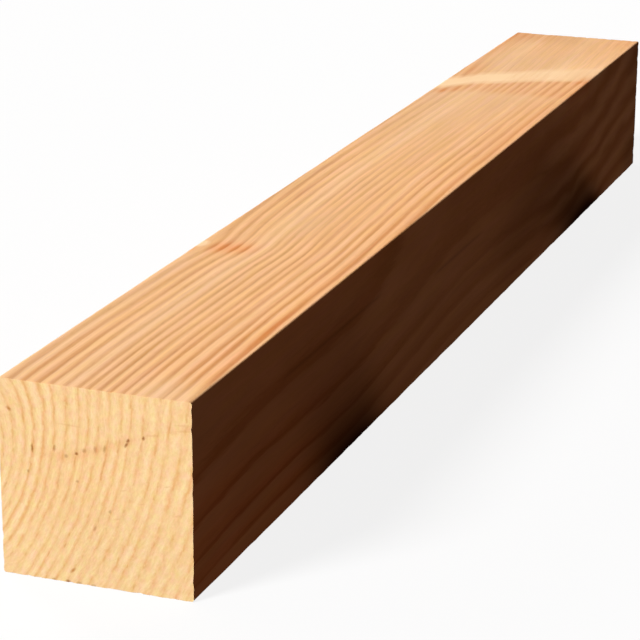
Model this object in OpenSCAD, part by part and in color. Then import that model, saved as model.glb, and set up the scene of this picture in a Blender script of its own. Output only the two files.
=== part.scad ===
// Squared softwood timber: one straight length with a square section, sawn on four sides
// and cross-cut square at both ends. It lies on its bottom face, along X, with its origin
// at the centre of that face. All sizes are in millimetres.

/* [Section] */
// Width of the section, from side face to side face
section_w = 100; // [40:1:300]
// Height of the section, from the bottom face to the top face
section_h = 100; // [40:1:300]
// Radius to which the saw-sharp long arrises are broken
arris_r = 1; // [0.2:0.1:8]

/* [Length] */
// Length between the two cross-cut ends
timber_l = 900; // [300:10:6000]

/* [Hidden] */

// Number of sides that a broken arris would have as a full circle
$fn = 48;

// Fresh-sawn softwood
timber_colour = [0.93, 0.71, 0.48];

// Flat widths left on the faces between the broken arrises
flat_w = section_w - 2 * arris_r;
flat_h = section_h - 2 * arris_r;

// The section, centred: two crossed rectangles fill the flats and four discs round the corners
module section() {
    square([section_w, flat_h], center = true);
    square([flat_w, section_h], center = true);
    for (side = [-1, 1], level = [-1, 1])
        translate([side * flat_w / 2, level * flat_h / 2])
            circle(r = arris_r);
}

// The timber: the section carried along the length, stood on its bottom face
module timber() {
    color(timber_colour)
        translate([-timber_l / 2, 0, section_h / 2])
            rotate([90, 0, 90])
                linear_extrude(height = timber_l)
                    section();
}

timber();
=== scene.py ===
import math

import bpy
import numpy as np
from mathutils import Matrix, Vector


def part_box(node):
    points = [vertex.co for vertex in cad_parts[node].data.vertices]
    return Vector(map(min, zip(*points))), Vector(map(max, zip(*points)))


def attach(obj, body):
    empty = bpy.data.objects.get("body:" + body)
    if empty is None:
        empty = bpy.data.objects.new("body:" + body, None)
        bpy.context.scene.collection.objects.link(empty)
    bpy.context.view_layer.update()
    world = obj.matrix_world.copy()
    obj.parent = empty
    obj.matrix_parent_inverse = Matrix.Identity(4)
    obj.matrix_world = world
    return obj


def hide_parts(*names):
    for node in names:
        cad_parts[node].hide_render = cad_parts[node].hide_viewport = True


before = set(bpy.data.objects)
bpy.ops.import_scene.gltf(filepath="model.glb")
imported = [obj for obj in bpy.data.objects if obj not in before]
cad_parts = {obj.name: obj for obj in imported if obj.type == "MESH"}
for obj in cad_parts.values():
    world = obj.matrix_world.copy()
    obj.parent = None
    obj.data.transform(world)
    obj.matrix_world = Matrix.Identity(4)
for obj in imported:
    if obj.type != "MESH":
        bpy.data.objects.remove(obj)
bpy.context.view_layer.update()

# Timber
# One straight length of softwood, sawn square on four sides from beside the pith of a tapering log and
# cross-cut at both ends. The rings cross its top and bottom as close lines and its sides as wide flames,
# and they swell where two whorls of branches left the stem.
MM = 0.001
box_low, box_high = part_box("timber")
length, width, height = (side / MM for side in box_high - box_low)

# Places on the timber are in millimetres: u along it from the near end, v across the top from its left
# side, d down from the top. The pith lies outside the left face. The rings are ovals that lean to the
# left on their way down, a little more on the right of the section.
pith_v, pith_d, squash = -16.5, 42.7, 0.73
lean_left, lean_right, lean_reach = 0.23, 0.27, 22.0
taper, taper_across, taper_depth = 0.0141, 0.00011, 40.0
sway, sway_length, sway_turn = 1.22, 342.0, -2.8

# The rings, counted outwards: their widths, how dark each one ends, and how pale the whole of it is.
innermost_ring = 17.2
ring_widths = (5.5, 5.5, 5, 6, 4.5, 6, 5, 6, 6.5, 4.5, 5, 5, 6, 4.5,
               6.5, 7.5, 5, 8, 7.5, 7, 7, 5, 6, 6.5, 5.5, 6, 6)
ring_depths = (0.9, 0.8, 1, 0.9, 1, 1, 1, 0.9, 0.9, 0.9, 1, 1, 0.9, 1,
               0.9, 1, 1.1, 1.15, 1, 0.9, 1, 0.9, 0.9, 1, 0.8, 0.9, 0.9)
ring_pales = (0, 0, 0, 0, -0.3, 0, 0.6, 1, 0, 0, -0.2, 0, -0.6, -0.1,
              0.5, 0, 0, 0, 0, 0, 0, 0.4, 0, -0.3, 0, 0.3, 0)
ring_ends = innermost_ring + np.cumsum(ring_widths)
ring_numbers = np.arange(len(ring_ends))

# Whorls: where each one swells the rings, by how much, over what length, and how far across the section.
# The first one has its own length before and after its place and a rounded tip.
whorl_one_u, whorl_one_swell, whorl_one_reach, whorl_one_limit = 245.0, 6.6, 52.0, 90.0
whorl_one_before, whorl_one_after, whorl_one_tip = 18.0, 22.0, 1.05
whorl_two_u, whorl_two_swell, whorl_two_spread = 700.0, 6.4, 100.0
whorl_two_lean, whorl_two_depth = 0.65, 25.0

# Branches. The saw took most of the first one and left its bowed underside in the top face as a long pale
# spike, given by the u of its middle and its half width, at the left arris and at the right one. It has a
# knee and a ragged line, and it thins out downwards and twice on its way to the right. Of the second one
# only an oval tip is left at the top left arris, given by its middle and half sizes.
spike_left_u, spike_left_half, spike_right_u, spike_right_half = 695.0, 25.0, 765.0, 29.5
spike_bow, spike_knee, spike_knee_v, spike_knee_half, spike_ragged = 10.0, 4.5, 23.0, 10.0, 1.5
spike_thickness, spike_slope, spike_cap = 5.0, 1.2, 3.4
first_thinning, second_thinning = 0.9, 0.7
stub_middle, stub_half_sizes = (244.0, 0.0, 0.0), (9.0, 7.0, 7.0)


def value_noise(seed, x, y):
    """Smooth noise from -1 to 1: random numbers on a square lattice, blended by cubic weights."""
    cells = 64
    lattice = np.random.default_rng(seed).uniform(-1, 1, (cells, cells))
    x, y = np.broadcast_arrays(x, y)
    column, row = np.floor(x).astype(int), np.floor(y).astype(int)
    right, up = x - column, y - row
    right = right * right * (3 - 2 * right)
    up = up * up * (3 - 2 * up)
    column, next_column = column % cells, (column + 1) % cells
    row, next_row = row % cells, (row + 1) % cells
    low = (1 - right) * lattice[column, row] + right * lattice[next_column, row]
    high = (1 - right) * lattice[column, next_row] + right * lattice[next_column, next_row]
    return (1 - up) * low + up * high


def growth(u, v, d):
    """Growth from the pith: the distance from it in a squashed section, after lean, taper and sway.

    Lean is a share of d, taper a share of u that grows with v near the top, and sway a sine of u. Two
    swellings are taken off: a peak in u with straight flanks that fades across v, and a bell in u that
    leans near the top.
    """
    lean = lean_right - (lean_right - lean_left) * np.exp(-(v / lean_reach) ** 2)
    taper_here = taper + taper_across * v * np.exp(-d / taper_depth)
    drift = taper_here * u - sway * np.sin(2 * np.pi * u / sway_length + sway_turn)
    first_side = np.where(u < whorl_one_u, whorl_one_before, whorl_one_after)
    first_peak = whorl_one_tip - np.hypot((u - whorl_one_u) / first_side, whorl_one_tip)
    first_fade = v / whorl_one_reach + (v / whorl_one_limit) ** 4
    second_u = whorl_two_u + whorl_two_lean * v * np.exp(-d / whorl_two_depth)
    second_bell = ((u - second_u) / whorl_two_spread) ** 2
    swell = whorl_one_swell * np.exp(first_peak - first_fade)
    swell += whorl_two_swell * np.exp(-second_bell)
    return np.hypot(v + lean * d + drift - swell - pith_v, squash * (d - pith_d))


def rise(value, start, end):
    """A smooth step: 0 up to the start, 1 from the end on, and a cubic between them."""
    share = np.clip((value - start) / (end - start), 0, 1)
    return share * share * (3 - 2 * share)


def patch(first, second, first_middle, second_middle, first_half, second_half):
    """A soft oval patch: 1 in its middle, falling as a bell along the first place and the second one."""
    first_share = (first - first_middle) / first_half
    second_share = (second - second_middle) / second_half
    return np.exp(-first_share ** 2 - second_share ** 2)


# The surface grid: close lines at the edges and where branches cross, and even cells between them. Each
# even stretch is given as (first line, last line, number of lines). The arrises are broken to the radius
# that the timber has, and the end edges are left sharp, with a few chips.
arris = 1.0
near_edge_lines = np.array([0.0, 0.4, 1.2])
stretches = ((3, 215, 29), (217.5, 275, 24), (282, 655, 51), (659, 800, 36), (807, length - 3, 13))
even_lines = [np.linspace(*stretch) for stretch in stretches]
u_lines = np.concatenate([near_edge_lines, *even_lines, length - near_edge_lines[::-1]])
cells_across, cells_down = 128, 88
v_lines = np.concatenate([[0.0], np.linspace(arris, width - arris, cells_across + 1), [width]])
d_lines = np.concatenate([[0.0], np.linspace(arris, height - arris, cells_down + 1), [height]])
last_v, last_d = len(v_lines) - 1, len(d_lines) - 1

# The outline of the section as a loop over the grid: along the top, down the right side, back along the
# bottom and up the left side. Its corner points are drawn in to the middle of the broken arris.
loop_v = np.concatenate([
    np.arange(last_v), np.full(last_d, last_v), np.arange(last_v, 0, -1), np.zeros(last_d, int)])
loop_d = np.concatenate([
    np.zeros(last_v, int), np.arange(last_d), np.full(last_v, last_d), np.arange(last_d, 0, -1)])
loop_size = len(loop_v)
out_v = (loop_v == last_v) * 1.0 - (loop_v == 0)
out_d = (loop_d == last_d) * 1.0 - (loop_d == 0)
corner = np.abs(out_v * out_d)
draw_in = corner * arris * (1 - math.sqrt(0.5))
outline_v = v_lines[loop_v] - out_v * draw_in
outline_d = d_lines[loop_d] - out_d * draw_in
out_length = np.hypot(out_v, out_d)
out_v, out_d = out_v / out_length, out_d / out_length

# Long faces first, as rows of outlines, then the points inside the near end and inside the far end.
long_u, long_v = np.meshgrid(u_lines, outline_v, indexing="ij")
long_d = np.broadcast_to(outline_d, long_u.shape)
long_size = long_u.size
inner_v, inner_d = (part.ravel() for part in np.meshgrid(v_lines[1:-1], d_lines[1:-1], indexing="ij"))
inner_size = len(inner_v)
u = np.concatenate([long_u.ravel(), np.zeros(inner_size), np.full(inner_size, length)])
v = np.concatenate([long_v.ravel(), inner_v, inner_v])
d = np.concatenate([long_d.ravel(), inner_d, inner_d])
at_near, at_far = u == 0, u == length
end_grain = (at_near | at_far) * 1.0

# Where a point lies: beside the top, on the right side, on a long face, in the pale near right corner of
# the top, in the pale strip along its near left arris, or past the spike.
top_reach = 9.0
near_top = np.exp(-(d / top_reach) ** 2)
on_right = rise(v, width - arris, width - 0.5 * arris)
on_long = 1 - end_grain
near_corner = rise(v, 58, 74) * (1 - rise(u, 8, 42))
left_strip = (1 - rise(v, 8, 14)) * (1 - rise(u, 200, 260))
past_branch = rise(u, 730, 790)

# Grain at every point: the count of rings, a whole number where dark late wood meets pale early wood.
fine_wobble, broad_wobble = 0.3, 0.25
depth_shift, pale_shift = -0.15, 0.35
grown = growth(u, v, d)
grown += fine_wobble * value_noise(3, u / 70, grown / 9)
grown += broad_wobble * value_noise(4, u / 190, v / 30 + d / 45)
ring = np.interp(grown, ring_ends, ring_numbers)
depth_of_ring = np.interp(ring, ring_numbers + depth_shift, ring_depths)
pale_of_ring = np.interp(ring, ring_numbers + pale_shift, ring_pales)
phase = ring % 1

# How strong the lines are. On the top they fade along the length and past the spike. They are weaker in
# a few calm patches, each one given as (u, v, half length, half width, loss), and stronger where the loss
# is below zero. On the right side they are weak in the middle, and far along it wide bands take their
# place.
calm_patches = ((308, 45, 32, 20, 0.6), (345, 74, 45, 14, 0.35), (490, 42, 60, 18, 0.35),
                (622, 46, 75, 24, 0.7), (590, 46, 80, 8, 0.5), (665, 72, 28, 24, 0.6),
                (820, 20, 90, 8, 0.5), (820, 46, 90, 9, 0.5), (140, 8, 160, 7, 0.22),
                (430, 8, 110, 8, -0.4), (392, 54, 34, 14, -0.5), (28, 50, 30, 15, -0.2))
top_level, top_fade_length, top_right_gain = 1.02, 620.0, 0.2
branch_loss, branch_loss_right, corner_loss = 0.35, 0.4, 0.25
side_level, right_gain, middle_loss, far_loss = 0.95, 0.2, 0.62, 0.85
uneven = 0.25
top_strength = top_level * np.exp(-u / top_fade_length) * (1 + top_right_gain * rise(v, 50, 80))
top_strength *= 1 - past_branch * (branch_loss + branch_loss_right * rise(v, 25, 45))
for *oval, loss in calm_patches:
    top_strength *= 1 - loss * patch(u, v, *oval)
top_strength *= 1 - corner_loss * near_corner
middle_right = rise(v, 90, 100) * rise(u, 230, 330)
far_right = on_right * rise(u, 580, 670)
strength = side_level * (1 + right_gain * on_right)
strength *= (1 - middle_loss * middle_right) * (1 - far_loss * far_right)
strength += (top_strength - strength) * near_top
strength *= 1 + uneven * value_noise(5, u / 60, v / 12 + d / 14)

# The wide bands of the right side: the depth of each pale one at six places along it, and dark wood
# between them. Broad pale and dark patches lie over them, each one given as (u, d, half length, half
# depth, amount).
band_u = (560, 620, 700, 760, 820, 890)
band_depths = ((-2, 2, 6, 1, -9, -20), (34, 35, 34, 31, 17, -6), (58, 59, 58, 51, 40, 27),
               (78, 78, 75, 67, 57, 49), (95, 95, 92, 87, 79, 71), (112, 112, 110, 106, 101, 92))
side_patches = ((400, 54, 90, 9, 0.6), (480, 82, 75, 9, 0.5), (50, 92, 70, 12, 0.5),
                (650, 66, 90, 18, -0.3), (640, 22, 75, 8, -0.4), (845, 20, 50, 14, 0.3),
                (605, 8, 25, 8, 0.6), (740, 43, 25, 8, -0.5), (330, 14, 24, 12, -0.35),
                (870, 54, 25, 10, 0.5))
band_wave, band_lift, right_dimness = 3.0, 0.25, 0.5
band_middles = [np.interp(u, band_u, depths) for depths in band_depths]
wavy_d = d + band_wave * value_noise(15, u / 25, d / 9)
band_count = sum(np.clip((wavy_d - upper) / (lower - upper), 0, 1)
                 for upper, lower in zip(band_middles, band_middles[1:]))
paler = far_right * (band_lift + np.cos(2 * np.pi * band_count)) - right_dimness * on_right
for *oval, amount in side_patches:
    paler += amount * on_right * patch(u, d, *oval)

# Branch wood: how deep a point lies in the spike or in the stub, below zero outside them.
share_across = v / width
spike_u = spike_left_u + (spike_right_u - spike_left_u) * share_across
spike_u += spike_bow * np.sin(np.pi * share_across) + spike_ragged * value_noise(13, v / 13, d / 20)
spike_u += spike_knee * np.exp(-((v - spike_knee_v) / spike_knee_half) ** 2)
half_spike = spike_left_half + (spike_right_half - spike_left_half) * share_across
near_spike, far_spike = spike_u - half_spike, spike_u + half_spike
spike = spike_thickness * (1 - np.abs(u - spike_u) / half_spike) - spike_slope * d
thinning = first_thinning * rise(v, 35, 45) + second_thinning * rise(v, 78, 88)
stub_places = (np.stack([u, v, d], -1) - stub_middle) / stub_half_sizes
stub = stub_half_sizes[1] * (1 - np.linalg.norm(stub_places, axis=-1))
branch_wood = np.maximum(np.minimum(spike, spike_cap - thinning), stub)

# Reddened wood of the top: beside the branches, along the right arris, and in a few streaks, each one
# given as (u, v, half length, half width, amount). Beside the branches the lines are stronger too.
red_streaks = ((113, 94.3, 32, 2.2, 0.4), (80, 86.5, 40, 2, 0.2), (230, 1.5, 6, 2, 0.6),
               (672, 8, 7, 4, 0.9), (678, 16, 8, 4, 0.5), (742, 96, 13, 4.5, 0.75),
               (748, 8, 26, 9, 0.5), (855, 2, 80, 6, 0.35), (890, 16, 20, 22, 0.5),
               (890, 93, 25, 12, 0.3), (368, 16, 20, 6, 0.15), (555, 90, 55, 8, 0.12))
spike_red, stub_red, edge_red = 0.42, 0.95, 0.2
spike_gain, stub_gain = 0.15, 0.4
stub_red_u, stub_red_lean, stub_red_half = 240.0, 0.06, 10.0
beside_spike = rise(u, 668, 690) * (1 - rise(u, near_spike, near_spike + 8)) * rise(v, 2, 14)
beside_stub = np.exp(-((u - stub_red_u - stub_red_lean * v) / stub_red_half) ** 2)
beside_stub *= rise(v, 5, 14) * (1 - rise(v, 24, 42))
along_edge = rise(v, 50, 82) * (1 + rise(v, 88, 93)) * (1 - 0.7 * rise(v, 96.5, 99))
along_edge *= (1 - rise(u, 640, 700)) * (1 - near_corner)
ember = spike_red * beside_spike + stub_red * beside_stub + edge_red * along_edge
for *oval, amount in red_streaks:
    ember += amount * patch(u, v, *oval)
ember *= near_top * on_long
strength += (spike_gain * beside_spike + stub_gain * beside_stub) * near_top

# Faded wood of the top, most of it far along, and pale wood: past the spike, longer on the right, in some
# rings, in the near right corner and in the strip along the left arris.
fade_gain = 0.6
past_spike_pale, ring_pale, corner_pale, strip_pale = 0.6, 0.35, 0.28, 0.15
faded = rise(u, 430, 700) * (1 - 0.5 * rise(u, 790, 850)) * (1 - 0.6 * rise(v, 60, 90))
faded_places = near_corner + left_strip + patch(u, v, 304, 44, 24, 9)
faded += fade_gain * (np.maximum(pale_of_ring, 0) + faded_places)
faded *= near_top * on_long
pale_length = 10 + 25 * rise(v, 55, 75)
past_spike = np.exp(-np.maximum(u - far_spike, 0) / pale_length)
past_spike *= rise(v, 45, 75) * rise(u, spike_u, far_spike)
pale_top = past_spike_pale * past_spike + ring_pale * pale_of_ring
pale_top += corner_pale * near_corner + strip_pale * left_strip
paler += pale_top * near_top * (1 - on_right)

# On the right side near the end the lines are thin. The wood there is warmer, most of all low down, and
# paler close to the end.
thin = on_right * (1 - rise(u, 200, 320))
warm_right = on_right * on_long * (1 - rise(u, 130, 300)) * (0.35 + 0.65 * rise(d, 15, 85))
close_right = on_right * on_long * (1 - rise(u, 20, 75)) * rise(d, 20, 55)
ember += 0.75 * warm_right + 0.3 * close_right
paler += 0.6 * warm_right + 0.8 * close_right


def arris_patch(middle_u, half_before, half_after, reach, lean):
    """A dark patch on the lower right arris: it decays away from the arris and ends 100 mm from it.

    Along u it is flat near its middle and has its own length before and after it. The middle leans back
    along u with the height.
    """
    from_middle = u - middle_u + lean * (height - d)
    along = np.abs(from_middle) / np.where(from_middle < 0, half_before, half_after)
    from_arris = np.hypot(width - v, height - d)
    return np.exp(-along ** 3 - from_arris / reach) * (1 - rise(from_arris, 60, 100))


# Darkening: two dark patches at the whorls on the lower right arris, each one given as (u, half length
# before, half length after, reach, lean, amount), and dimmer wood low on the near end, at the far end and
# before the second patch. There are a few dim patches of the top, each one given as (u, v, half length,
# half width, amount), of which the long one at the near left arris is painted shade, and two thin dark
# streaks of the right side, each one given as (u, d, half length).
arris_patches = ((225, 66, 52, 32, 0.5, 1.08), (750, 85, 45, 36, 1.6, 1.12))
dim_and_shaded_patches = ((744, 97, 11, 4, 0.07), (370, 3, 110, 5, 0.08), (790, 28, 35, 9, 0.045),
               (368, 16, 20, 6, 0.06), (400, 44, 20, 8, 0.05))
dark_streaks = ((195, 26.5, 88), (420, 43, 56))
near_dim, far_top_dim, far_upper_dim, far_lower_dim, before_second_patch_dim = 0.03, 0.08, 0.14, 0.24, 0.26
streak_dim, streak_half_depth = 0.25, 1.1
darkening_and_painted_shade = sum(amount * arris_patch(*shape) for *shape, amount in arris_patches)
darkening_and_painted_shade += near_dim * at_near * rise(d, 40, 80) * rise(v, 5, 45)
at_far_end = rise(u, 845, 885)
darkening_and_painted_shade += far_top_dim * near_top * at_far_end * (1 - rise(v, 45, 75))
darkening_and_painted_shade += far_upper_dim * on_right * at_far_end * (1 - rise(d, 15, 35))
darkening_and_painted_shade += far_lower_dim * on_right * at_far_end * rise(d, 60, 85)
darkening_and_painted_shade += before_second_patch_dim * on_right * patch(u, d, 565, 68, 72, 34)
# Dim patches of the top, one of them painted shade along the near left arris.
for *oval, amount in dim_and_shaded_patches:
    darkening_and_painted_shade += amount * near_top * patch(u, v, *oval)
for streak_u, streak_d, half_length in dark_streaks:
    along_streak = 1 - rise(np.abs(u - streak_u), 0.7 * half_length, half_length)
    across_streak = np.exp(-((d - streak_d) / streak_half_depth) ** 2)
    darkening_and_painted_shade += streak_dim * along_streak * across_streak * rise(v, width - arris, width)

# The scar of the saw across the near end: a shallow step, higher on the right, with torn wood along it
# and golden wood below it. On both ends the lines of two rings near the left are bold.
scar_v, scar_depths = (0, 17, 35, 50, 66, 75, 100), (38, 34.5, 36, 31, 24.5, 20.5, 12)
scar_half, step_half, golden_share = 2.2, 0.8, 0.38
bold_ring, bold_reach = 4.5, 1.0
scar_d = np.interp(v, scar_v, scar_depths)
scar = np.exp(-((d - scar_d) / scar_half) ** 2) * at_near
scar *= rise(v, 12, 40) * (1 - 0.7 * rise(v, 55, 75))
below_scar = rise(d - scar_d, -step_half, step_half)
golden = golden_share * patch(v, d, 38, 51, 27, 25) * at_near
bold = np.exp(-((ring - bold_ring) / bold_reach) ** 2) * end_grain

# Relief, cut into the faces: late wood stands proud except in branch wood, the sawn surface waves a
# little, the arrises are chipped, and the ends carry shallow saw marks. Depths are in millimetres.
late_relief, strongest_line = 0.09, 1.3
saw_wave, fibre_relief = 0.06, 0.02
end_saw_marks, end_late_relief, scar_relief = 0.02, 0.02, 0.05
small_chips, large_chips = 0.25, 0.8
end_break, end_break_uneven, end_chips, end_reach = 0.06, 0.6, 0.9, 0.7
late_height = np.maximum(rise(phase, 0.45, 1.0), 1 - rise(phase, 0.08, 0.3))
in_stem = 1 - rise(branch_wood, -1, 1)
line_height = np.clip(depth_of_ring * strength, 0, strongest_line)
long_cut = late_relief * line_height * (1 - late_height) * in_stem
long_cut += saw_wave * (1 + value_noise(6, u / 90, v / 14 + d / 17))
long_cut += fibre_relief * (1 + value_noise(7, u / 12, v / 1.7 + d / 2.1))
end_cut = end_saw_marks * (1 + value_noise(8, v / 30, d / 1.9)) + end_late_relief * (1 - late_height)
end_cut += scar_relief * at_near * (below_scar + scar)
chips = small_chips * np.abs(value_noise(10, u / 9, v / 7 + d / 5))
chips += large_chips * np.clip(value_noise(11, u / 23, v / 6 + d / 9) - 0.5, 0, 1)
end_wear = end_break * (1 + end_break_uneven * value_noise(12, v / 1.6, d / 1.6))
end_wear += end_chips * np.clip(value_noise(14, v / 4.5, d / 4.5) - 0.4, 0, 1)
end_wear *= np.exp(-np.minimum(u, length - u) / end_reach)
off_ends = np.zeros(2 * inner_size)
on_arris, push_v, push_d = (
    np.concatenate([np.broadcast_to(part, long_u.shape).ravel(), off_ends])
    for part in (corner, out_v, out_d))
section_cut = long_cut + on_arris * chips + end_wear
cut_u = u + end_cut * at_near - end_cut * at_far
cut_v = v - section_cut * push_v
cut_d = d - section_cut * push_d
points = np.stack([box_low.x + cut_u * MM, box_high.y - cut_v * MM, box_high.z - cut_d * MM], -1)


def quads(index):
    """Faces of a grid of point numbers: each cell's corners, from the second axis round to the first."""
    return np.stack([index[:-1, :-1], index[:-1, 1:], index[1:, 1:], index[1:, :-1]], -1).reshape(-1, 4)


def end_index(first_on_loop, first_inside):
    """Point numbers of an end's grid: the loop's points on its border, and its own points inside."""
    index = np.empty((last_v + 1, last_d + 1), int)
    index[1:-1, 1:-1] = first_inside + np.arange(inner_size).reshape(last_v - 1, last_d - 1)
    index[loop_v, loop_d] = first_on_loop + np.arange(loop_size)
    return index


long_index = np.arange(long_size).reshape(long_u.shape)
long_index = np.concatenate([long_index, long_index[:, :1]], 1)
near_quads = quads(end_index(0, long_size))
far_quads = quads(end_index(long_size - loop_size, long_size + inner_size))[:, ::-1]
faces = np.concatenate([quads(long_index), near_quads, far_quads])

sharp_angle = math.radians(50)
timber_mesh = bpy.data.meshes.new("sawn_timber")
timber_mesh.from_pydata(points.tolist(), [], faces.tolist())
timber_mesh.shade_smooth()
timber_mesh.set_sharp_from_angle(angle=sharp_angle)
marks = {"ring": ring, "ring_depth": depth_of_ring * strength, "paler": paler, "end_grain": end_grain,
         "branch_wood": branch_wood, "ember": ember, "faded": faded, "darkening_and_painted_shade": darkening_and_painted_shade,
         "scar": scar + golden, "bold": bold, "thin": thin}
for name, values in marks.items():
    mark_layer = timber_mesh.attributes.new(name, "FLOAT", "POINT")
    mark_layer.data.foreach_set("value", values.astype(np.float32))
timber = bpy.data.objects.new("sawn_timber", timber_mesh)
bpy.context.scene.collection.objects.link(timber)

# The finish: colours are sRGB values from 0 to 255, turned to linear light, and tints are linear shares.
early_wood, late_wood = (252, 202, 150), (220, 162, 109)
end_early_wood, end_late_wood, end_dash = (255, 226, 177), (238, 186, 127), (214, 158, 96)
branch_pale, branch_ring = (255, 220, 175), (250, 208, 160)
torn_brown, fleck_brown = (146, 84, 22), (186, 116, 46)
untinted = (1, 1, 1)
long_yellow, long_pink, faded_tint = (0.99, 1.0, 0.91), (1.0, 0.985, 1.06), (0.97, 1.03, 1.13)
end_yellow, end_cream, scar_tint = (0.99, 0.995, 0.865), (0.99, 0.965, 1.02), (0.97, 0.88, 0.8)
end_green, end_pink = (0.98, 1.034, 0.965), (1.02, 0.966, 1.035)
mottle_pale, mottle_dark = (1.1, 1.16, 1.22), (0.88, 0.82, 0.74)
ember_tint, darkening_and_painted_shade_tint = (0.93, 0.68, 0.52), (0.10, 0.075, 0.075)


def linear(colour):
    """A linear colour with alpha from sRGB values: a power law above a small straight toe."""
    shares = np.array(colour) / 255
    light = np.where(shares > 0.04045, ((shares + 0.055) / 1.055) ** 2.4, shares / 12.92)
    return (*light.tolist(), 1.0)


finish = bpy.data.materials.new("sawn_softwood")
finish.use_nodes = True
tree = finish.node_tree
shader = tree.nodes["Principled BSDF"]


def feed(socket, source):
    """Gives a socket a plain value or links it to another socket of the tree in hand."""
    if isinstance(source, bpy.types.NodeSocket):
        tree.links.new(source, socket)
    else:
        socket.default_value = source


def maths(operation, first, second=0.0, third=0.0, clamp=False):
    """One arithmetic node on up to three numbers."""
    node = tree.nodes.new("ShaderNodeMath")
    node.operation = operation
    node.use_clamp = clamp
    for socket, source in zip(node.inputs, (first, second, third)):
        feed(socket, source)
    return node.outputs[0]


def centred(level, reach):
    """A level from 0 to 1, scaled to the given reach and moved so that a half becomes zero."""
    return maths("MULTIPLY_ADD", level, reach, -reach / 2)


def mixed(share, first, second, blend="MIX"):
    """Colour mix of two colours by a share."""
    node = tree.nodes.new("ShaderNodeMix")
    node.data_type = "RGBA"
    node.blend_type = blend
    feed(node.inputs[0], share)
    feed(node.inputs[6], first)
    feed(node.inputs[7], second)
    return node.outputs[2]


def tinted(colour, share, first_tint, second_tint):
    """A colour times a tint that goes from the first one to the second one with the share."""
    return mixed(1.0, colour, mixed(share, (*first_tint, 1), (*second_tint, 1)), "MULTIPLY")


def mark(name):
    """The value of one of the mesh's marks."""
    node = tree.nodes.new("ShaderNodeAttribute")
    node.attribute_name = name
    return node.outputs["Fac"]


place = tree.nodes.new("ShaderNodeTexCoord").outputs["Object"]
split_place = tree.nodes.new("ShaderNodeSeparateXYZ")
feed(split_place.inputs[0], place)
place_along, place_across, place_up = split_place.outputs


def in_units(level, size):
    """A place along one axis, measured in units of the given millimetres."""
    return maths("MULTIPLY", level, 1 / (size * MM))


def joined(first, second, third=0.0):
    """One place from three numbers."""
    node = tree.nodes.new("ShaderNodeCombineXYZ")
    for socket, source in zip(node.inputs, (first, second, third)):
        feed(socket, source)
    return node.outputs[0]


def scaled_place(along, across, down):
    """Places measured in units of the given millimetres along the timber, across it and down it."""
    node = tree.nodes.new("ShaderNodeMapping")
    feed(node.inputs["Vector"], place)
    node.inputs["Scale"].default_value = (1 / (along * MM), 1 / (across * MM), 1 / (down * MM))
    return node.outputs[0]


def noise_at(where, detail=2.0, roughness=0.5):
    """Noise with a grain of about one unit of the given places."""
    node = tree.nodes.new("ShaderNodeTexNoise")
    feed(node.inputs["Vector"], where)
    node.inputs["Scale"].default_value = 1.0
    node.inputs["Detail"].default_value = detail
    node.inputs["Roughness"].default_value = roughness
    return node.outputs[0]


def noise(along, across, down, detail=2.0, roughness=0.5):
    """Noise whose grain has the given sizes in millimetres along the timber, across it and down it."""
    return noise_at(scaled_place(along, across, down), detail, roughness)


def patchwork(along, across, down):
    """A steady random level in each cell of a patchwork with cells of the given sizes in millimetres."""
    node = tree.nodes.new("ShaderNodeTexVoronoi")
    feed(node.inputs["Vector"], scaled_place(along, across, down))
    node.inputs["Scale"].default_value = 1.0
    return node.outputs["Color"]


def ramp(value, *stops):
    """A curve of straight pieces through (place, height) stops, of which the first two are its ends."""
    node = tree.nodes.new("ShaderNodeValToRGB")
    feed(node.inputs[0], value)
    elements = node.color_ramp.elements
    for number, (at, grey) in enumerate(stops):
        element = elements[number] if number < 2 else elements.new(at)
        element.position = at
        element.color = (grey, grey, grey, 1)
    return node.outputs[0]


# Noises of the long faces, and of the ends, where they stay the same along the timber for a long way.
far_along = 400
is_end = mark("end_grain")
ring_mark = mark("ring")
fibre = noise(60, 0.9, 0.9, 3, 0.6)
wander = noise(40, 3, 3, 2, 0.6)
cloud = noise(170, 18, 18, 2)
pore = noise(10, 0.3, 0.3, 1)
tint_noise = noise(45, 4, 4, 2, 0.6)
torn_step = patchwork(far_along, 7, 3.4)
torn_wave = noise(far_along, 8, 14, 2, 0.5)
cell = noise(far_along, 0.8, 0.8, 3, 0.7)
blotch = noise(far_along, 4, 6, 3, 0.65)
dash_noise = noise(far_along, 2.2, 6, 2, 0.6)
ring_fade = noise(far_along, 11, 17, 2)

# Long faces: each ring starts pale and darkens outwards to an abrupt end, or to a thin line on the near
# right side. Over that lie soft clouds of tone, streaks that run with the rings, fibres along the length,
# a yellow or pink tint and a few open pores in the late wood.
wander_reach, mean_late, pale_gain = 0.3, 0.4, -0.5
streak_length, streaks_in_ring = 75, 5.0
tone_least, cloud_tone, fibre_tone, streak_tone = 0.72, 0.12, 0.14, 0.3
late_pores, early_pores = 0.12, 0.02
wandering_ring = maths("ADD", ring_mark, centred(wander, wander_reach))
long_share = maths("FRACT", wandering_ring)
late = ramp(long_share, (0.0, 0.97), (1.0, 0.97), (0.1, 0.95), (0.16, 0.75), (0.21, 0.42), (0.26, 0.12),
            (0.31, 0.0), (0.46, 0.0), (0.6, 0.17), (0.72, 0.38), (0.84, 0.66), (0.94, 0.9))
thin_late = ramp(long_share, (0.0, 0.55), (1.0, 0.55), (0.05, 0.75), (0.1, 1.0), (0.18, 1.0), (0.24, 0.6),
                 (0.29, 0.4), (0.88, 0.4))
late_here = maths("MULTIPLY_ADD", maths("SUBTRACT", thin_late, late), mark("thin"), late)
late_depth = maths("MULTIPLY_ADD", maths("SUBTRACT", late_here, mean_late), mark("ring_depth"), mean_late)
late_depth = maths("MULTIPLY_ADD", mark("paler"), pale_gain, late_depth, clamp=True)
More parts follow.
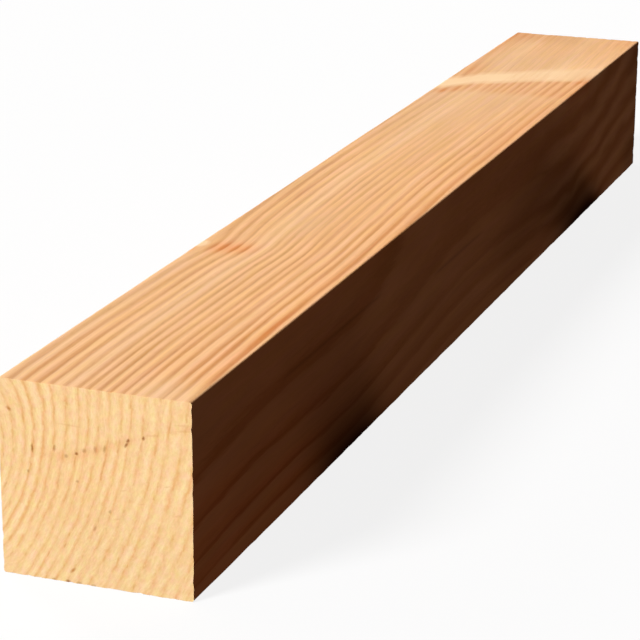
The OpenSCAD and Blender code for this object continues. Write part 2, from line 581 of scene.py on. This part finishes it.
long_wood = mixed(late_depth, linear(early_wood), linear(late_wood))
streak_across = maths("MULTIPLY", wandering_ring, streaks_in_ring)
streak = noise_at(joined(in_units(place_along, streak_length), streak_across), 3, 0.65)
tone = maths("MULTIPLY_ADD", cloud, cloud_tone, maths("MULTIPLY_ADD", fibre, fibre_tone, tone_least))
tone = maths("MULTIPLY_ADD", streak, streak_tone, tone)
long_wood = mixed(1.0, long_wood, tone, "MULTIPLY")
tint_share = maths("MULTIPLY_ADD", tint_noise, 3.0, -1.0, clamp=True)
long_wood = tinted(long_wood, tint_share, long_yellow, long_pink)
long_wood = tinted(long_wood, mark("faded"), untinted, faded_tint)
open_pore = ramp(pore, (0.0, 0.0), (1.0, 1.0), (0.62, 0.0), (0.7, 1.0))
pores = maths("MULTIPLY", open_pore, maths("MULTIPLY_ADD", late, late_pores, early_pores))
long_wood = mixed(pores, long_wood, linear(torn_brown))

# Ends: paler and yellower. The rings are thinner lines, broken into short steps and dashes where the saw
# tore the fibres. Streaks and a fine mottle run along the rings, and the tint goes from yellow to cream
# and from green to pink.
step_reach, wave_reach = 0.14, 0.24
mean_stripe, line_gain, streak_gain = 0.45, 0.42, 0.8
fade_share, bold_share, least_share = 3.0, 0.9, -0.6
end_streak_height, end_dash_height, end_streak_width = 9, 2.6, 30
end_streaks_in_ring, end_dashes_in_ring = 3.6, 6.0
cell_tone, least_cell = 0.12, 0.94
step_shift = centred(torn_step, step_reach)
wave_shift = centred(torn_wave, wave_reach)
end_share = maths("FRACT", maths("ADD", ring_mark, maths("ADD", step_shift, wave_shift)))
end_stripe = ramp(end_share, (0.0, 0.62), (1.0, 0.62), (0.14, 0.54), (0.3, 0.37), (0.42, 0.29),
                  (0.58, 0.29), (0.7, 0.4), (0.82, 0.58), (0.92, 0.66))
thin_line = ramp(end_share, (0.0, 0.7), (1.0, 0.7), (0.06, 0.2), (0.12, 0.0), (0.8, 0.0), (0.91, 0.8),
                 (0.96, 1.0))
line_share = maths("MULTIPLY_ADD", mark("bold"), bold_share, least_share)
line_share = maths("MULTIPLY_ADD", ring_fade, fade_share, line_share)
end_stripe = maths("MULTIPLY_ADD", maths("SUBTRACT", end_stripe, mean_stripe), line_share, mean_stripe)
wavy_ring = maths("ADD", ring_mark, wave_shift)


def end_place(marks_in_ring, mark_height):
    """Places on an end that follow its rings: so many marks in a ring, each one of the given height."""
    across_ring = maths("MULTIPLY", wavy_ring, marks_in_ring)
    return joined(across_ring, in_units(place_up, mark_height), in_units(place_across, end_streak_width))


end_streak = noise_at(end_place(end_streaks_in_ring, end_streak_height), 3, 0.6)
mottle = noise_at(end_place(end_dashes_in_ring, end_dash_height), 2, 0.6)
streak_break = maths("MULTIPLY_ADD", end_streak, 1.6, -1.5)
line_break = maths("MULTIPLY_ADD", dash_noise, 2.2, streak_break, clamp=True)
line_depth = maths("MULTIPLY", line_break, maths("MULTIPLY", line_share, line_gain))
end_lines = maths("MULTIPLY_ADD", thin_line, line_depth, end_stripe)
end_lines = maths("ADD", end_lines, centred(end_streak, streak_gain), clamp=True)
end_wood = mixed(end_lines, linear(end_early_wood), linear(end_late_wood))
dash_share = ramp(dash_noise, (0.0, 0.0), (1.0, 0.6), (0.54, 0.0), (0.7, 0.45))
end_wood = mixed(maths("MULTIPLY", thin_line, dash_share), end_wood, linear(end_dash))
blotch_share = maths("MULTIPLY_ADD", blotch, 2.2, -0.6, clamp=True)
end_wood = tinted(end_wood, blotch_share, end_yellow, end_cream)
end_wood = tinted(end_wood, tint_share, end_green, end_pink)
end_wood = tinted(end_wood, mottle, mottle_pale, mottle_dark)
end_wood = mixed(1.0, end_wood, maths("MULTIPLY_ADD", cell, cell_tone, least_cell), "MULTIPLY")
end_wood = tinted(end_wood, mark("scar"), untinted, scar_tint)
wood = mixed(is_end, long_wood, end_wood)

# Branch wood fades into the stem at its ragged edges. Reddened wood, stronger in late wood, and
# darkening, partly painted shade, lie over it.
branch_ragged, branch_reach, branch_rings, branch_ring_share = 1.6, 5.0, 0.4, 0.35
ember_late, ember_early = 0.7, 0.65
branch_depth = maths("ADD", mark("branch_wood"), centred(wander, branch_ragged))
branch_scale = maths("MULTIPLY_ADD", branch_depth, 0.5 / branch_reach, 0.5)
branch_share = ramp(branch_scale, (0.0, 0.0), (1.0, 0.97), (0.52, 0.0), (0.6, 0.28), (0.82, 0.97))
branch_phase = maths("FRACT", maths("MULTIPLY", branch_depth, branch_rings))
branch_stripe = maths("MULTIPLY", branch_phase, branch_ring_share)
branch_colour = mixed(branch_stripe, linear(branch_pale), linear(branch_ring))
wood = mixed(branch_share, wood, branch_colour)
ember_share = maths("MULTIPLY", mark("ember"), maths("MULTIPLY_ADD", late, ember_late, ember_early))
wood = tinted(wood, ember_share, untinted, ember_tint)
# Darkening of the wood, with painted shade along the near left arris of the top.
wood = tinted(wood, mark("darkening_and_painted_shade"), untinted, darkening_and_painted_shade_tint)

# Torn specks of the near end, most of them along the scar and a few at its lower edge, some dark and some
# faint, two brown flecks, and scratches of the saw: each one is (v, d, half width, half height, tilt in
# degrees). Their edges are ragged.
dark_specks = ((17.6, 33.5, 0.7, 2.8, 0), (40.7, 33.2, 1.2, 1.1, 20), (66.5, 25.3, 0.9, 2.2, 30),
               (67.4, 23.2, 1.0, 1.5, 25), (75.3, 20.9, 1.0, 1.5, 10), (34.5, 99.4, 1.8, 1.1, 0))
faint_specks = ((29.2, 32.0, 1.0, 2.2, 10), (35.2, 35.2, 1.1, 1.3, 0), (44.8, 31.2, 1.3, 1.4, 20),
                (50.3, 29.8, 0.9, 2.0, 0), (55.3, 29.0, 0.9, 2.6, 10), (15.1, 45.5, 0.9, 1.2, 0),
                (40.8, 47.2, 1.1, 0.9, 0), (57.4, 60.2, 0.9, 1.4, 20), (49.3, 69.9, 0.9, 2.0, 30),
                (27, 99.5, 1.6, 0.9, 0), (40.5, 99.4, 1.8, 0.9, 0), (48, 99.5, 1.7, 0.8, 0))
flecks = ((5.8, 15.1, 1.9, 1.1, 40), (37.2, 93.3, 2.4, 1.0, -45))
saw_scratches = ((37, 19.4, 8, 0.7, 2), (80, 19, 5, 0.7, -8), (95, 12, 5, 0.7, -4),
                 (95.5, 14.8, 5, 0.7, -8), (87, 43.5, 2.4, 0.6, -15), (64.5, 48.5, 2.4, 0.6, -15),
                 (61, 63.5, 2.4, 0.6, -15), (91.5, 57.5, 2.4, 0.6, -15), (74, 54, 2.2, 0.6, -10))
dark_level, faint_level, fleck_level, scratch_level = 0.95, 0.5, 0.9, 0.32
spot_reach, ragged_y, ragged_z = 3 * MM, 1.2 * MM, -0.9 * MM
ragged = tree.nodes.new("ShaderNodeVectorMath")
ragged.operation = "MULTIPLY_ADD"
feed(ragged.inputs[0], cell)
ragged.inputs[1].default_value = (0, ragged_y, ragged_z)
feed(ragged.inputs[2], place)


def spot(spot_v, spot_d, half_width, half_height, tilt):
    """1 in the middle of a spot on the near end, falling straight to 0 at the edge of a tilted oval."""
    oval = tree.nodes.new("ShaderNodeMapping")
    oval.vector_type = "TEXTURE"
    feed(oval.inputs["Vector"], ragged.outputs[0])
    oval.inputs["Location"].default_value = (
        box_low.x, box_high.y - spot_v * MM + ragged_y / 2, box_high.z - spot_d * MM + ragged_z / 2)
    oval.inputs["Rotation"].default_value = (math.radians(tilt), 0, 0)
    oval.inputs["Scale"].default_value = (spot_reach, half_width * MM, half_height * MM)
    ball = tree.nodes.new("ShaderNodeTexGradient")
    ball.gradient_type = "SPHERICAL"
    feed(ball.inputs["Vector"], oval.outputs[0])
    return ball.outputs["Fac"]


def all_spots(spots, full):
    """The strongest of several spots, steep at their edges, with the given level in their middles."""
    strongest = spot(*spots[0])
    for values in spots[1:]:
        strongest = maths("MAXIMUM", strongest, spot(*values))
    return ramp(strongest, (0.0, 0.0), (1.0, full), (0.5, 0.6 * full))


torn = maths("MAXIMUM", all_spots(dark_specks, dark_level), all_spots(faint_specks, faint_level))
wood = mixed(all_spots(saw_scratches, scratch_level), wood, linear(end_dash))
wood = mixed(all_spots(flecks, fleck_level), wood, linear(fleck_brown))
wood = mixed(torn, wood, linear(torn_brown))
least_roughness, fibre_roughness = 0.75, 0.2
feed(shader.inputs["Base Color"], wood)
feed(shader.inputs["Roughness"], maths("MULTIPLY_ADD", fibre, fibre_roughness, least_roughness))
shader.inputs["Specular IOR Level"].default_value = 0.0

# Fine relief below the mesh's own: heights in millimetres.
fibre_height, pore_height, cell_height, torn_height = 0.05, -0.3, 0.03, -0.03
long_height = maths("ADD", maths("MULTIPLY", fibre, fibre_height), maths("MULTIPLY", pores, pore_height))
end_height = maths("ADD", maths("MULTIPLY", cell, cell_height), maths("MULTIPLY", torn, torn_height))
relief = tree.nodes.new("ShaderNodeBump")
relief.inputs["Distance"].default_value = MM
height_change = maths("MULTIPLY", is_end, maths("SUBTRACT", end_height, long_height))
feed(relief.inputs["Height"], maths("ADD", long_height, height_change))
feed(shader.inputs["Normal"], relief.outputs[0])
timber_mesh.materials.append(finish)
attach(timber, "root")
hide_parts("timber")

# Floor
# A wide pale sheet on the studio's floor, under the timber. It is matt and glows, so that it looks white
# to the camera and keeps a light shadow, and it throws no light back at the timber.
floor_half = 30.0
floor_grey, floor_glow = 0.92, 0.86
floor_corners = [(x * floor_half, y * floor_half, 0.0) for x, y in ((-1, -1), (1, -1), (1, 1), (-1, 1))]
floor_mesh = bpy.data.meshes.new("floor")
floor_mesh.from_pydata(floor_corners, [], [(0, 1, 2, 3)])
floor = bpy.data.objects.new("floor", floor_mesh)
bpy.context.scene.collection.objects.link(floor)
floor_finish = bpy.data.materials.new("studio_floor")
floor_finish.use_nodes = True
tree = floor_finish.node_tree
tree.nodes.clear()
matt = tree.nodes.new("ShaderNodeBsdfDiffuse")
matt.inputs["Color"].default_value = (floor_grey, floor_grey, floor_grey, 1)
glow = tree.nodes.new("ShaderNodeEmission")
share = tree.nodes.new("ShaderNodeMixShader")
share.inputs[0].default_value = floor_glow
tree.links.new(matt.outputs[0], share.inputs[1])
tree.links.new(glow.outputs[0], share.inputs[2])
output = tree.nodes.new("ShaderNodeOutputMaterial")
tree.links.new(share.outputs[0], output.inputs["Surface"])
floor_mesh.materials.append(floor_finish)
floor.visible_diffuse = False

# Studio light
# A soft key from the front left and above, a weaker one from the back left, and a dim warm surround that
# alone reaches the right side. The surround looks white to the camera.
scene = bpy.context.scene
key_towards, key_level = (-0.70, 0.43, 0.57), 1.40
back_towards, back_level = (0.60, 0.75, 0.30), 0.5
sun_softness = 18
surround_light = (0.070, 0.042, 0.032)


def soft_sun(name, towards, level):
    """A sun that shines from the direction towards it, and shows a facing white surface as that grey."""
    lamp = bpy.data.lights.new(name, "SUN")
    lamp.energy = math.pi * level
    lamp.angle = math.radians(sun_softness)
    sun = bpy.data.objects.new(name, lamp)
    sun.rotation_euler = Vector(towards).to_track_quat("Z", "Y").to_euler()
    scene.collection.objects.link(sun)


soft_sun("key", key_towards, key_level)
soft_sun("back_left", back_towards, back_level)
surround = bpy.data.worlds.new("studio")
scene.world = surround
surround.use_nodes = True
tree = surround.node_tree
tree.nodes.clear()
path = tree.nodes.new("ShaderNodeLightPath")
fill = tree.nodes.new("ShaderNodeBackground")
fill.inputs["Color"].default_value = (*surround_light, 1)
white = tree.nodes.new("ShaderNodeBackground")
white.inputs["Color"].default_value = (1, 1, 1, 1)
seen = maths("ADD", path.outputs["Is Camera Ray"], path.outputs["Is Glossy Ray"])
seen = maths("ADD", seen, path.outputs["Is Transmission Ray"], clamp=True)
share = tree.nodes.new("ShaderNodeMixShader")
tree.links.new(seen, share.inputs[0])
tree.links.new(fill.outputs[0], share.inputs[1])
tree.links.new(white.outputs[0], share.inputs[2])
output = tree.nodes.new("ShaderNodeOutputWorld")
tree.links.new(share.outputs[0], output.inputs["Surface"])
scene.view_settings.view_transform = "Standard"

# Camera
# A long lens in front of the near end, to the right of the timber and above it, turned a little about its
# own axis.
eye = Vector((-1.4032, -0.4607, 0.4754))
forward = Vector((0.89355, 0.32683, -0.30782))
upward = Vector((0.28696, 0.11152, 0.95143))
lens_data = bpy.data.cameras.new("camera")
lens_data.lens = 135.5
lens_data.sensor_width = 36.0
camera = bpy.data.objects.new("camera", lens_data)
sideways = forward.cross(upward).normalized()
camera.matrix_world = Matrix((sideways, upward, -forward)).transposed().to_4x4()
camera.location = eye
scene.collection.objects.link(camera)
scene.camera = camera
